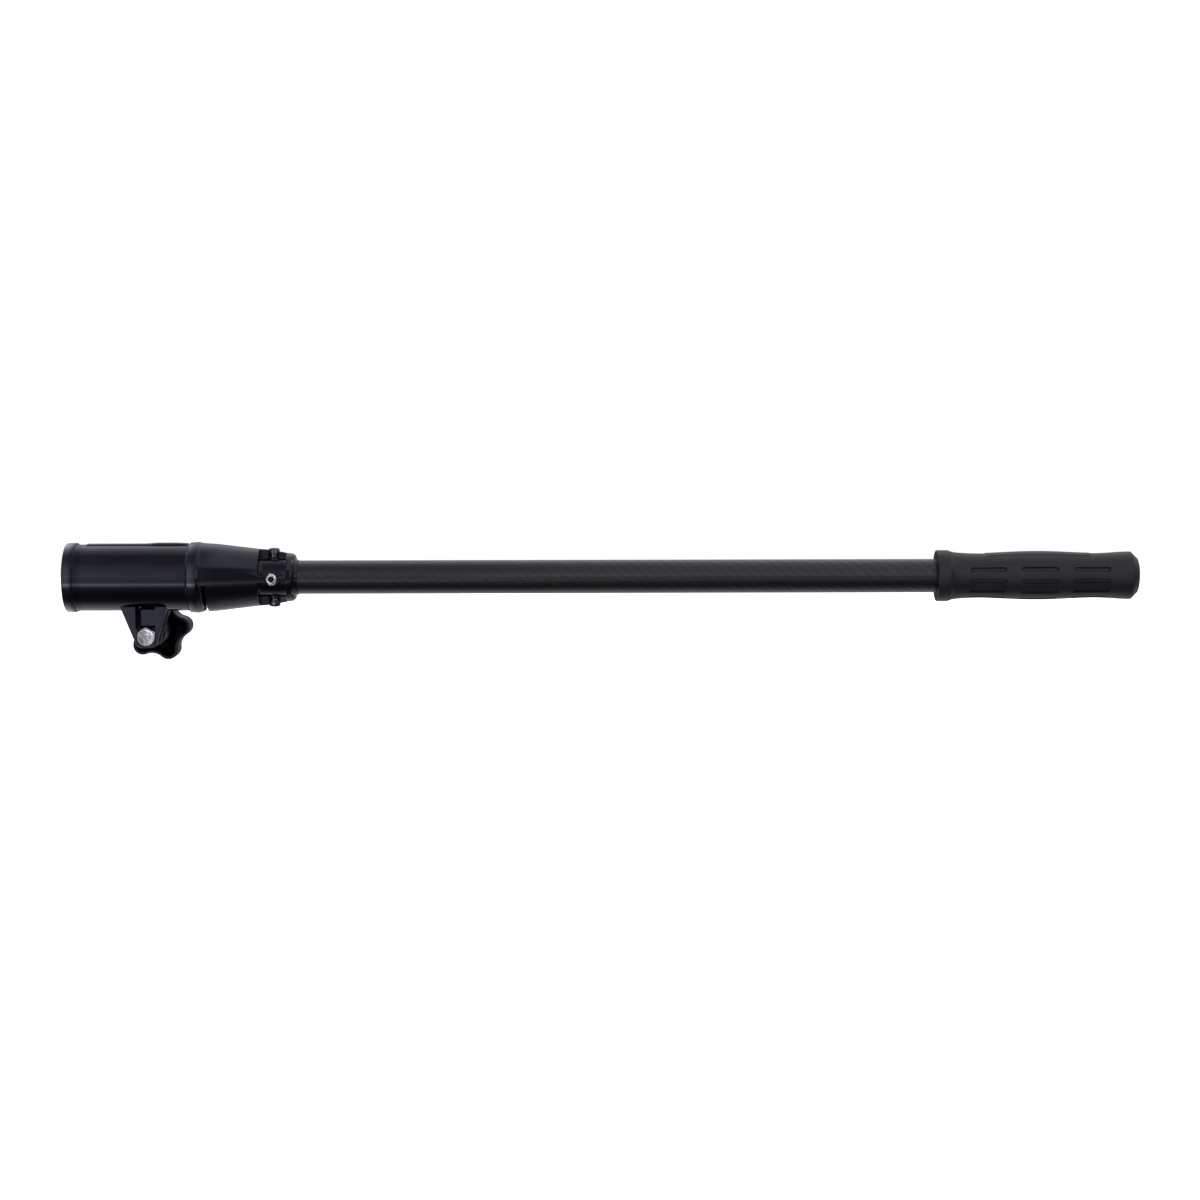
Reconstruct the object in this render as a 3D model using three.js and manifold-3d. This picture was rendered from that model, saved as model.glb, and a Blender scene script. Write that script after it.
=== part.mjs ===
// Tiller extension handle for a small outboard motor, in millimetres, +Z up.
// The origin is the centre of the clamp socket's mouth. +X runs along the handle to the grip.
// The clamp ears, the bolt and the star knob hang below the socket, towards -Z.
import * as THREE from 'three';
import { mergeVertices } from 'three/addons/utils/BufferGeometryUtils.js';
import Module from 'manifold-3d';

const wasm = await Module();
wasm.setup();

// ---------------------------------------------------------------- driving dimensions
const GAP = 0.3;                 // clearance between pieces that touch

const SOCKET_BORE_R = 21.8;      // takes the motor's twist grip, with the liner
const SOCKET_DEPTH = 108;        // mouth to the inner stop face
const SOCKET_END = 172.6;        // end of the neck
const RIM = { end: 7.5, r: 26 };
const BARREL = { end: 91.2, r: 24.8 };
const COLLAR = { end: 99.2, r: 26.5 };
const GROOVE = { start: 144.2, end: 164.6, r: 14.3 };
const PAD_HALF_ANGLE = 10;
const SPLIT_W = 8;               // axial split below the barrel and between the ears
const RELIEF = { start: 102.3, end: 106.2, z: -4.3 };

const EAR = { x: 60.1, outerY: 13.2, topZ: -17, lowZ: -46, bottomZ: -51.7 };
const EAR_LEFT = { top: 20.9, low: 9.1 };    // reach of the ear from the bolt towards the mouth
const EAR_RIGHT = { top: 16.9, low: 8 };     // and towards the tube
const BOLT = { z: -43.5, r: 4, headAf: 13, headH: 5.3, length: 55, headFloorY: -8.9 };
const POCKET_W = 13.7;           // hex pocket that keeps the bolt's head from turning
const BLOCK = { left: -3.7, right: 6.85, topZ: -23, lowZ: -34.8, y: -12.4 };    // over the bolt's head
const GROOVE_LEFT = -7.9;        // the deep groove beside the block
const GROOVE_LOW_Z = -37.2;      // and how far it goes down, to the bolt head's seat

const WASHER = { r: 8, t: 1.6 };
const KNOB = { lobes: 5, tipR: 24.3, valleyR: 18.2, lobeR: 7.5, phase: 7.6, rimY: 38.5, farY: 59 };
const KNOB_INSIDE = { wall: 2.15, hubR: 9.5, ribY: 44, ribT: 1.1, boreEndY: 50.5 };
const NUT = { r: 6, length: 16 };

const TUBE = { start: 112.3, end: 796, r: 12.5, wall: 1.5 };
const NECK_SCREW = { x: 154.6, r: 2.5, tip: 5.6, headR: 4.25, headH: 6.6, headTop: 21.9 };
const SCREW_HEX = { af: 4, depth: 2.6 };
const NECK_SEAT_R = 15;          // distance of the flat screw seats from the tube's axis
const RIB_W = 5;
const INSERT = { start: 143, end: 167, boreR: 4.5 };

const GRIP_BACK = 800;
const GRIP_TURN = -5;            // the grip is pushed on a few degrees round from upright
const SLOT = { w: 3.2, depth: 1.1, pitchDeg: 30, rows: 8 };
const SLOT_SPANS = [[673.2, 700], [711.5, 738.6], [750.2, 777.2]];
const THUMB_PAD = { start: 686, end: 764, halfAngle: 30, lift: 0.35 };

// ---------------------------------------------------------------- helpers
const rad = THREE.MathUtils.degToRad;

/** A manifold solid from a closed three.js geometry. */
function solid(geometry) {
  const bare = new THREE.BufferGeometry();
  bare.setAttribute('position', geometry.getAttribute('position'));
  bare.setIndex(geometry.getIndex());
  const merged = mergeVertices(bare, 1e-4);
  const index = merged.getIndex().array;
  const kept = [];
  for (let i = 0; i < index.length; i += 3) {
    const [a, b, c] = [index[i], index[i + 1], index[i + 2]];
    if (a !== b && b !== c && c !== a) kept.push(a, b, c);
  }
  return new wasm.Manifold(new wasm.Mesh({
    numProp: 3,
    vertProperties: new Float32Array(merged.getAttribute('position').array),
    triVerts: new Uint32Array(kept),
  }));
}

/** A three.js geometry from a manifold solid. */
function geometryOf(body) {
  const mesh = body.getMesh();
  const geometry = new THREE.BufferGeometry();
  geometry.setAttribute('position', new THREE.BufferAttribute(new Float32Array(mesh.vertProperties), 3));
  geometry.setIndex(new THREE.BufferAttribute(new Uint32Array(mesh.triVerts), 1));
  return geometry;
}

/** A body turned about the X axis from [x, radius] points, listed with the outer wall going +X. */
function turned(profile, segments) {
  const points = profile.map(([x, r]) => new THREE.Vector2(r, x));
  return new THREE.LatheGeometry(points, segments).rotateZ(-Math.PI / 2);
}

/** A plain tube or, with rIn = 0, a rod along X. */
function tubeX(x0, x1, rIn, rOut, segments) {
  if (rIn === 0) return turned([[x0, 0], [x0, rOut], [x1, rOut], [x1, 0]], segments);
  return turned([[x0, rIn], [x0, rOut], [x1, rOut], [x1, rIn], [x0, rIn]], segments);
}

/** The same, along Y through the bolt's axis. */
function onBolt(geometry) {
  return geometry.rotateZ(Math.PI / 2).translate(EAR.x, 0, BOLT.z);
}

/** The same, standing out radially from the tube's axis at the neck screws. */
function onNeck(geometry, degrees) {
  return geometry.rotateZ(Math.PI / 2).rotateX(rad(degrees)).translate(NECK_SCREW.x, 0, 0);
}

function box(x0, x1, y0, y1, z0, z1) {
  return new THREE.BoxGeometry(x1 - x0, y1 - y0, z1 - z0)
    .translate((x0 + x1) / 2, (y0 + y1) / 2, (z0 + z1) / 2);
}

function extruded(points, depth) {
  const shape = new THREE.Shape(points.map(([u, v]) => new THREE.Vector2(u, v)));
  return new THREE.ExtrudeGeometry(shape, { depth, bevelEnabled: false, steps: 1 });
}

/** A prism along X from [y, z] points. */
function prismX(points, x0, x1) {
  const turn = new THREE.Matrix4().makeBasis(
    new THREE.Vector3(0, 1, 0), new THREE.Vector3(0, 0, 1), new THREE.Vector3(1, 0, 0));
  return extruded(points, x1 - x0).applyMatrix4(turn).translate(x0, 0, 0);
}

/** A prism along Y from [x, z] points. */
function prismY(points, y0, y1) {
  return extruded(points, y1 - y0).rotateX(Math.PI / 2).translate(0, y1, 0);
}

/** Points of an arc about a centre, angles in degrees. */
function arc(cu, cv, r, from, to, steps) {
  return Array.from({ length: steps + 1 }, (_, i) => {
    const a = rad(from + (to - from) * i / steps);
    return [cu + r * Math.cos(a), cv + r * Math.sin(a)];
  });
}

/** A hexagonal prism along X with two flats square to Y. */
function hexX(x0, x1, af) {
  return prismX(arc(0, 0, af / Math.sqrt(3), 30, 330, 5), x0, x1);
}

// ---------------------------------------------------------------- group and materials
const group = new THREE.Group();
group.name = 'tiller_extension_handle';

const FINISH = {
  nylon: { color: 0x20222b, roughness: 0.32, metalness: 0 },
  rubberLiner: { color: 0x1b1b1e, roughness: 0.85, metalness: 0 },
  gripRubber: { color: 0x2e2e35, roughness: 0.6, metalness: 0 },
  carbon: { color: 0x35353b, roughness: 0.4, metalness: 0.1 },
  stainless: { color: 0xb4b4b8, roughness: 0.28, metalness: 1 },
  brass: { color: 0xb0904a, roughness: 0.4, metalness: 1 },
  aluminium: { color: 0xa9acb0, roughness: 0.45, metalness: 1 },
  knobPlastic: { color: 0x17181d, roughness: 0.42, metalness: 0 },
  plug: { color: 0x232326, roughness: 0.8, metalness: 0 },
};

function addPart(name, body, finish) {
  const mesh = new THREE.Mesh(geometryOf(body), new THREE.MeshStandardMaterial(FINISH[finish]));
  mesh.name = name;
  group.add(mesh);
}

// ---------------------------------------------------------------- clamp socket
/** Outer line of the cone and neck without the groove. */
const CONE_LINE = [
  [100.9, 25.8], [106, 25.5], [113.5, 24.9], [125, 23.5], [GROOVE.start, 21.2], [150, 20.8],
  [160.9, 18.95], [GROOVE.end, 18.2], [168.2, 17.75], [170.2, 16.3], [170.5, 13.3], [SOCKET_END, 13.1],
];
const coneBefore = CONE_LINE.filter(([x]) => x <= GROOVE.start);
const coneAfter = CONE_LINE.filter(([x]) => x >= GROOVE.end);
const tubeBoreR = TUBE.r + GAP;
const tubeStopR = TUBE.r - TUBE.wall - GAP;
const tubeSeatX = TUBE.start - GAP;

let socket = solid(turned([
  [0, SOCKET_BORE_R + 0.8],
  [0, RIM.r - 0.8], [0.4, RIM.r - 0.3], [3.5, RIM.r], [RIM.end - 0.6, RIM.r], [RIM.end, BARREL.r],
  [BARREL.end, BARREL.r], [BARREL.end + 1.4, COLLAR.r],
  [COLLAR.end, COLLAR.r],
  ...coneBefore, [GROOVE.start, GROOVE.r], [GROOVE.end, GROOVE.r], ...coneAfter,
  [SOCKET_END, tubeBoreR], [tubeSeatX, tubeBoreR], [tubeSeatX, tubeStopR],
  [SOCKET_DEPTH, tubeStopR], [SOCKET_DEPTH, SOCKET_BORE_R], [0.8, SOCKET_BORE_R],
  [0, SOCKET_BORE_R + 0.8],
], 56));

/** The part of a turned ring that lies within some degrees of a direction round the X axis. */
function sector(profile, segments, degrees, halfAngle) {
  const wedge = [[0, 0], ...arc(0, 0, 40, degrees - halfAngle, degrees + halfAngle, 6)];
  return solid(turned(profile, segments)).intersect(solid(prismX(wedge, 0, GRIP_BACK)));
}

// Blank raised pad along the top of the barrel, a little higher at the collar's end.
const padInnerR = BARREL.r - 1;
socket = socket.add(sector([
  [15, padInnerR], [15, 25.2], [15.4, 25.5], [60, 25.5], [67, 26.15], [88, 26.15], [91, 25.6],
  [91, padInnerR], [15, padInnerR],
], 112, 90, PAD_HALF_ANGLE));

// Two ears under the barrel, one on each side of the split, rounded at the lower corners.
const cornerR = 5;
const atBolt = (points) => points.map(([u, z]) => [EAR.x + u, z]);
const earOutline = atBolt([
  [-EAR_LEFT.top, EAR.topZ], [-EAR_LEFT.low, EAR.lowZ],
  ...arc(cornerR - EAR_LEFT.low, EAR.bottomZ + cornerR, cornerR, 190, 270, 4),
  ...arc(EAR_RIGHT.low - cornerR, EAR.bottomZ + cornerR, cornerR, 270, 350, 4),
  [EAR_RIGHT.low, EAR.lowZ], [EAR_RIGHT.top, EAR.topZ],
]);
const bore = solid(tubeX(-1, SOCKET_DEPTH, 0, SOCKET_BORE_R, 56));
const farEar = solid(prismY(earOutline, SPLIT_W / 2, EAR.outerY));
let nearEar = solid(prismY(earOutline, -EAR.outerY, -SPLIT_W / 2));

// A deep groove in the near ear round three sides of a block over the bolt's head.
const around = atBolt([
  [GROOVE_LEFT, -10], [GROOVE_LEFT, GROOVE_LOW_Z], [BLOCK.right, GROOVE_LOW_Z], [BLOCK.right, -10],
]);
const kept = atBolt([[BLOCK.left, BLOCK.topZ], [BLOCK.left, BLOCK.lowZ], [40, BLOCK.lowZ], [40, BLOCK.topZ]]);
const groove = solid(prismY(around, -20, 0)).subtract(solid(prismY(kept, BLOCK.y, 1)));
nearEar = nearEar.subtract(groove);
socket = socket.add(farEar.subtract(bore)).add(nearEar.subtract(bore));
socket = socket.subtract(solid(box(-1, RELIEF.end, -SPLIT_W / 2, SPLIT_W / 2, -60, -15)));
socket = socket.subtract(solid(box(RELIEF.start, RELIEF.end, -30, 30, -30, RELIEF.z)));

// Hex pocket in the near ear for the bolt's head, and the bolt's hole through both ears.
const pocketHalf = POCKET_W / 2;
const pocketEnd = arc(0, BOLT.z, POCKET_W / Math.sqrt(3), 210, 330, 2);
const pocket = atBolt([[-pocketHalf, GROOVE_LOW_Z + 1], ...pocketEnd, [pocketHalf, GROOVE_LOW_Z + 1]]);
socket = socket.subtract(solid(prismY(pocket, -EAR.outerY - 1, BOLT.headFloorY + GAP)));
socket = socket.subtract(solid(onBolt(tubeX(-20, 20, 0, BOLT.r + GAP, 20))));

// Four ribs across the neck groove, each cut back to a flat round seat for a screw.
const neckBlock = solid(turned([
  [GROOVE.start - 0.5, 0], ...CONE_LINE.filter(([x]) => x >= GROOVE.start && x <= GROOVE.end)
    .map(([x, r], i, all) => [i === 0 ? x - 0.5 : i === all.length - 1 ? x + 0.5 : x, r]),
  [GROOVE.end + 0.5, 0],
], 56));
const cross = solid(box(100, 180, -RIB_W / 2, RIB_W / 2, -30, 30))
  .add(solid(box(100, 180, -30, 30, -RIB_W / 2, RIB_W / 2)));
const tubeBore = solid(tubeX(tubeSeatX, SOCKET_END + 1, 0, tubeBoreR, 56));
socket = socket.add(neckBlock.intersect(cross).subtract(tubeBore));
for (const degrees of [0, 90, 180, 270]) {
  socket = socket.add(solid(onNeck(tubeX(13, NECK_SEAT_R, 0, 5.4, 20), degrees)).subtract(tubeBore));
  socket = socket.subtract(solid(onNeck(tubeX(NECK_SEAT_R, 30, 0, NECK_SCREW.headR + GAP, 24), degrees)));
  socket = socket.subtract(solid(onNeck(tubeX(5, 30, 0, NECK_SCREW.r + GAP, 16), degrees)));
}
addPart('clamp_socket', socket, 'nylon');

// Rubber sleeve inside the barrel, open along the split.
const liner = solid(tubeX(2.5, 99, SOCKET_BORE_R - GAP - 1.5, SOCKET_BORE_R - GAP, 48))
  .subtract(solid(box(0, 110, -SPLIT_W / 2, SPLIT_W / 2, -30, -10)));
addPart('socket_liner', liner, 'rubberLiner');

// ---------------------------------------------------------------- clamp bolt, washer and knob
const boltHead = solid(onBolt(hexX(BOLT.headFloorY - BOLT.headH, BOLT.headFloorY, BOLT.headAf)));
const boltShank = solid(onBolt(tubeX(BOLT.headFloorY - 0.5, BOLT.headFloorY + BOLT.length, 0, BOLT.r, 20)));
addPart('clamp_bolt', boltHead.add(boltShank), 'stainless');

const washerY = EAR.outerY + GAP;
const washer = solid(onBolt(tubeX(washerY, washerY + WASHER.t, BOLT.r + GAP, WASHER.r, 24)));
addPart('knob_washer', washer, 'stainless');

/** Closed outline of the star, [x, z] about the knob's centre, moved inwards by an offset. */
function starOutline(inset) {
  const reach = KNOB.tipR - KNOB.lobeR;
  const half = rad(180 / KNOB.lobes);
  const base = reach ** 2 + KNOB.valleyR ** 2 - 2 * reach * KNOB.valleyR * Math.cos(half) - KNOB.lobeR ** 2;
  const valleyR = base / (2 * KNOB.lobeR - 2 * KNOB.valleyR + 2 * reach * Math.cos(half));
  const valleyAt = KNOB.valleyR + valleyR;
  const tangent = Math.atan2(valleyAt * Math.sin(half), valleyAt * Math.cos(half) - reach);
  const sweep = THREE.MathUtils.radToDeg(tangent);
  const points = [];
  for (let i = 0; i < KNOB.lobes; i += 1) {
    const a = KNOB.phase + i * 360 / KNOB.lobes;
    const mid = a + 180 / KNOB.lobes;
    const lobe = [reach * Math.cos(rad(a)), reach * Math.sin(rad(a))];
    const hollow = [valleyAt * Math.cos(rad(mid)), valleyAt * Math.sin(rad(mid))];
    points.push(...arc(...lobe, KNOB.lobeR - inset, a - sweep, a + sweep, 8));
    const dip = arc(...hollow, valleyR + inset, a + 180 + sweep, a + 180 + 360 / KNOB.lobes - sweep, 6);
    points.push(...dip.slice(1, -1));
  }
  return points;
}

function starPrism(inset, y0, y1) {
  return solid(prismY(starOutline(inset), y0, y1).translate(EAR.x, 0, BOLT.z));
}

const hubY = washerY + WASHER.t + GAP;
const nutY = hubY + 0.5;
const K = KNOB_INSIDE;
let knob = starPrism(0, KNOB.rimY, KNOB.farY).subtract(starPrism(K.wall, KNOB.rimY - 1, KNOB.farY - 2.5));
knob = knob.add(solid(onBolt(tubeX(hubY, KNOB.farY - 1, 0, K.hubR, 32))));
const ribsInside = starPrism(K.wall / 2, K.ribY, KNOB.farY - 1);
for (let i = 0; i < KNOB.lobes; i += 1) {
  const rib = box(0, KNOB.tipR, 0, KNOB.farY, -K.ribT / 2, K.ribT / 2)
    .rotateY(-rad(KNOB.phase + i * 360 / KNOB.lobes))
    .translate(EAR.x, 0, BOLT.z);
  knob = knob.add(solid(rib).intersect(ribsInside));
}
knob = knob.subtract(solid(onBolt(tubeX(hubY - 1, nutY + NUT.length + GAP, 0, NUT.r + GAP, 24))));
knob = knob.subtract(solid(onBolt(tubeX(hubY - 1, K.boreEndY, 0, BOLT.r + GAP, 24))));
addPart('clamp_knob', knob, 'knobPlastic');
addPart('knob_nut', solid(onBolt(tubeX(nutY, nutY + NUT.length, BOLT.r + 0.05, NUT.r, 24))), 'brass');

// ---------------------------------------------------------------- carbon tube and its fastening
let tube = solid(tubeX(TUBE.start, TUBE.end, TUBE.r - TUBE.wall, TUBE.r, 44));
let insert = solid(tubeX(INSERT.start, INSERT.end, INSERT.boreR, TUBE.r - TUBE.wall - GAP, 36));
for (const degrees of [0, 90, 180, 270]) {
  const hole = solid(onNeck(tubeX(1, 30, 0, NECK_SCREW.r + GAP, 16), degrees));
  tube = tube.subtract(hole);
  insert = insert.subtract(hole);
}
addPart('carbon_tube', tube, 'carbon');
addPart('tube_insert', insert, 'aluminium');

const headFoot = NECK_SCREW.headTop - NECK_SCREW.headH;
[270, 90, 0, 180].forEach((degrees, i) => {
  const head = solid(onNeck(tubeX(headFoot, NECK_SCREW.headTop, 0, NECK_SCREW.headR, 24), degrees));
  const shank = solid(onNeck(tubeX(NECK_SCREW.tip, headFoot + 0.5, 0, NECK_SCREW.r, 16), degrees));
  const socketHex = solid(onNeck(
    hexX(NECK_SCREW.headTop - SCREW_HEX.depth, NECK_SCREW.headTop + 1, SCREW_HEX.af), degrees));
  addPart(`neck_screw_${i + 1}`, head.add(shank).subtract(socketHex), 'stainless');
});

// ---------------------------------------------------------------- grip and end plug
const gripBoreR = TUBE.r + GAP;
const GRIP_LINE = [
  [649.4, 18.4], [650.1, 19.1], [657.8, 19.1], [661, 17.9], [668, 17.08], [683, 16.55],
  [698, 17.2], [713, 17.8], [729, 18], [744, 17.5], [758, 16.85], [768, 16.6],
  [779, 17.1], [789, 17.75], [794.5, 17.8], [GRIP_BACK, 12.6],
];
let grip = solid(turned([
  [649.4, gripBoreR], ...GRIP_LINE, [GRIP_BACK, 0], [TUBE.end + GAP, 0],
  [TUBE.end + GAP, gripBoreR], [649.4, gripBoreR],
], 48));

/** Radius of the grip's outer line at a place along it. */
function gripRadius(x) {
  const next = GRIP_LINE.findIndex(([px]) => px > x);
  const [x0, r0] = GRIP_LINE[next - 1];
  const [x1, r1] = GRIP_LINE[next];
  return r0 + (r1 - r0) * (x - x0) / (x1 - x0);
}

// Plain raised panel on top of the grip.
const panelLine = GRIP_LINE.filter(([x]) => x > THUMB_PAD.start && x < THUMB_PAD.end);
const panelEnds = [THUMB_PAD.start, THUMB_PAD.end].map((x) => [x, gripRadius(x)]);
grip = grip.add(sector([
  [THUMB_PAD.start, 14],
  ...[panelEnds[0], ...panelLine, panelEnds[1]].map(([x, r]) => [x, r + THUMB_PAD.lift]),
  [THUMB_PAD.end, 14], [THUMB_PAD.start, 14],
], 48, 90 + GRIP_TURN, THUMB_PAD.halfAngle));

// Rows of shallow slots round the sides and underneath.
for (let row = 0; row < SLOT.rows; row += 1) {
  const degrees = 270 + GRIP_TURN + (row - (SLOT.rows - 1) / 2) * SLOT.pitchDeg;
  for (const [x0, x1] of SLOT_SPANS) {
    const half = SLOT.w / 2;
    const outline = [
      ...arc(x1 - half, 0, half, -90, 90, 4), ...arc(x0 + half, 0, half, 90, 270, 4),
    ];
    const floor = (gripRadius(x0) + gripRadius(x1)) / 2 - SLOT.depth;
    const cutter = extruded(outline, 8).translate(0, 0, floor).rotateX(rad(degrees - 90));
    grip = grip.subtract(solid(cutter));
  }
}
addPart('grip', grip, 'gripRubber');

const plugR = TUBE.r - TUBE.wall - GAP;
addPart('tube_end_plug', solid(tubeX(TUBE.end - 25, TUBE.end - 1, 0, plugR, 32)), 'plug');

export default group;
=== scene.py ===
"""Looks of a tiller extension handle: clamp socket, star knob, carbon tube and rubber grip.

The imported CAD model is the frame. Every visible piece is built here in millimetres in that
frame, scaled to metres, and rides on the CAD body it belongs to.
"""
import math

import bmesh
import bpy
import numpy as np
from mathutils import Matrix, Vector


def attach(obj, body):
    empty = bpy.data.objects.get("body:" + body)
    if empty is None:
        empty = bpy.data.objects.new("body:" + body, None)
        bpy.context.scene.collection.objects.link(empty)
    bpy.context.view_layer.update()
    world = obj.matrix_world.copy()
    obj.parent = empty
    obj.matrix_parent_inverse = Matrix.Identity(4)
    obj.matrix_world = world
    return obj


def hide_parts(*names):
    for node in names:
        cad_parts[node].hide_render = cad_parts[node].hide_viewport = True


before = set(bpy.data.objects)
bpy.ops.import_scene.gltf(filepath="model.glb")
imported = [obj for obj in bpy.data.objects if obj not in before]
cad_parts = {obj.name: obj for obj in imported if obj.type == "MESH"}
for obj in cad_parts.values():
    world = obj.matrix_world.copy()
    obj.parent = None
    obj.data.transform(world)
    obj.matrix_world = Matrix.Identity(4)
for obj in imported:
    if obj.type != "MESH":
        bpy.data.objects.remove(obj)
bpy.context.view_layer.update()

MM = 0.001

# ------------------------------------------------------------------ sizes, as in the CAD model
BORE_R = 21.8
BORE_END = 108.0
NECK_END = 172.6
BARREL_R = 24.8
SPLIT_W = 8.0
RELIEF_X = (102.3, 106.2)
RELIEF_Z = -4.3
EAR_X = 60.1
EAR_OUT_Y = 13.2
EAR_ROOT_R = 22.8
BOLT_Z = -43.5
HEAD_FLOOR_Y = -8.9
HEAD_H = 5.3
HEAD_AF = 13.0
POCKET_W = 13.7
SHANK_HOLE_R = 4.3
BOLT_TIP_Y = 46.1
TUBE_R = 12.5
TUBE_WALL = 1.5
SCREW_X = 154.6
SEAT_R = 15.0
SCREW_TOP = 21.9
SCREW_HOLE_R = 2.8
SCREW_WELL_R = 4.55
KNOB_RIM_Y = 38.5
KNOB_FAR_Y = 59.0


# ------------------------------------------------------------------ mesh helpers
def new_object(name, verts, faces):
    """A mesh object from vertices in millimetres."""
    mesh = bpy.data.meshes.new(name)
    mesh.from_pydata((np.asarray(verts) * MM).tolist(), [], faces)
    work = bmesh.new()
    work.from_mesh(mesh)
    bmesh.ops.remove_doubles(work, verts=work.verts, dist=1e-7)
    bmesh.ops.recalc_face_normals(work, faces=work.faces)
    work.to_mesh(mesh)
    work.free()
    obj = bpy.data.objects.new(name, mesh)
    bpy.context.scene.collection.objects.link(obj)
    return obj


def loft(name, rings, wrap=False, start=None, end=None):
    """A closed skin through rings of the same number of points.

    wrap joins the last ring to the first. start and end are centre points that close
    the ends; an end without one is closed by a flat face.
    """
    rings = [np.asarray(r, float) for r in rings]
    count = len(rings[0])
    verts = list(np.concatenate(rings))
    faces = []
    pairs = len(rings) if wrap else len(rings) - 1
    for k in range(pairs):
        a, b = k * count, ((k + 1) % len(rings)) * count
        for i in range(count):
            j = (i + 1) % count
            faces.append((a + i, a + j, b + j, b + i))
    if not wrap:
        for centre, base in ((start, 0), (end, (len(rings) - 1) * count)):
            if centre is None:
                faces.append(tuple(base + i for i in range(count)))
                continue
            verts.append(np.asarray(centre, float))
            tip = len(verts) - 1
            faces.extend((base + i, base + (i + 1) % count, tip) for i in range(count))
    return new_object(name, verts, faces)


def rounded(corners, steps=4):
    """A line through (u, v, fillet) corners, each corner rounded with the same number of points."""
    points = []
    pts = [np.array(c[:2], float) for c in corners]
    last = len(pts) - 1
    for i, corner in enumerate(corners):
        if i in (0, last):
            points.append(pts[i])
            continue
        to_prev, to_next = pts[i - 1] - pts[i], pts[i + 1] - pts[i]
        l0, l1 = np.linalg.norm(to_prev), np.linalg.norm(to_next)
        reach = min(corner[2], 0.45 * l0, 0.45 * l1)
        a, b = pts[i] + to_prev / l0 * reach, pts[i] + to_next / l1 * reach
        for s in np.linspace(0, 1, steps + 1):
            points.append((1 - s) ** 2 * a + 2 * s * (1 - s) * pts[i] + s * s * b)
    return np.array(points)


def ring_at(x, radius, angles):
    """A ring about the X axis at angles in radians from +Y towards +Z. x and radius may vary."""
    radius = np.broadcast_to(radius, angles.shape)
    x = np.broadcast_to(x, angles.shape)
    return np.stack([x, radius * np.cos(angles), radius * np.sin(angles)], 1)


def rings_at(angles, *spots):
    """One ring for each (x, radius)."""
    return [ring_at(x, radius, angles) for x, radius in spots]


def turned_x(name, line, segments, wrap=False):
    """A round piece about the X axis from an [x, radius] outline."""
    angles = np.radians(np.arange(segments) * 360 / segments)
    return loft(name, rings_at(angles, *line), wrap)


def place(obj, matrix):
    """Moves the mesh, not the object, so that the object stays at the origin."""
    shift = matrix.copy()
    shift.translation = shift.translation * MM
    obj.data.transform(shift)
    return obj


def on_bolt():
    """From a piece made along X to the clamp bolt's axis, along +Y."""
    return Matrix.Translation((EAR_X, 0, BOLT_Z)) @ Matrix.Rotation(math.pi / 2, 4, "Z")


def on_neck(degrees):
    """From a piece made along X to a neck screw's axis, at that angle from +Y towards +Z."""
    turn = Matrix.Rotation(math.radians(degrees), 4, "X") @ Matrix.Rotation(math.pi / 2, 4, "Z")
    return Matrix.Translation((SCREW_X, 0, 0)) @ turn


def combine(target, other, operation):
    """A boolean with another object, applied at once; the other object is removed."""
    mod = target.modifiers.new("combine", "BOOLEAN")
    mod.operation = operation
    mod.solver = "MANIFOLD"
    mod.object = other
    graph = bpy.context.evaluated_depsgraph_get()
    mesh = bpy.data.meshes.new_from_object(target.evaluated_get(graph))
    target.modifiers.clear()
    target.data = mesh
    bpy.data.objects.remove(other)
    return target


def block(x0, x1, y0, y1, z0, z1):
    """A rectangular cutting block."""
    corners = [(x0, y0), (x1, y0), (x1, y1), (x0, y1)]
    return loft("cutter", [[(x, y, z) for x, y in corners] for z in (z0, z1)])


def rounded_prism(name, outline, y0, y1, edge, steps=3):
    """A prism along Y from a convex [x, z] outline, its front and back edges rounded."""
    points = np.asarray(outline, float)
    centre = points.mean(0)
    ahead, behind = np.roll(points, -1, 0) - points, points - np.roll(points, 1, 0)
    normals = []
    for a, b in zip(ahead, behind):
        n = sum(np.array([v, -u]) / math.hypot(u, v) for u, v in (a, b))
        normals.append(n / (n @ n) * 2)
    normals = np.array(normals)
    if ((points - centre) * normals).sum() < 0:
        normals = -normals
    rings = []
    for y, sign in ((y0, 1), (y1, -1)):
        # A ring a little inside the rounded edge keeps the shading of the flat face flat.
        arc = [[(x, y, z) for x, z in points - normals * (edge + 0.4)]]
        for s in np.linspace(0, math.pi / 2, steps + 1):
            inset = edge * (1 - math.sin(s))
            flat = points - normals * inset
            arc.append([(x, y + sign * edge * (1 - math.cos(s)), z) for x, z in flat])
        rings.append(arc)
    return loft(name, rings[0] + rings[1][::-1])


def arc_points(cu, cv, r, start, end, steps):
    a = np.radians(np.linspace(start, end, steps + 1))
    return np.stack([cu + r * np.cos(a), cv + r * np.sin(a)], 1)


def finish_piece(obj, body, material, slot, *nodes, sharp=40):
    """Smooth shading with crisp edges, the material, and the piece's place in the frame."""
    obj.data.shade_smooth()
    obj.data.set_sharp_from_angle(angle=math.radians(sharp))
    obj.data.materials.clear()
    obj.data.materials.append(material)
    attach(obj, body)
    if nodes:
        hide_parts(*nodes)
    return obj


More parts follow.
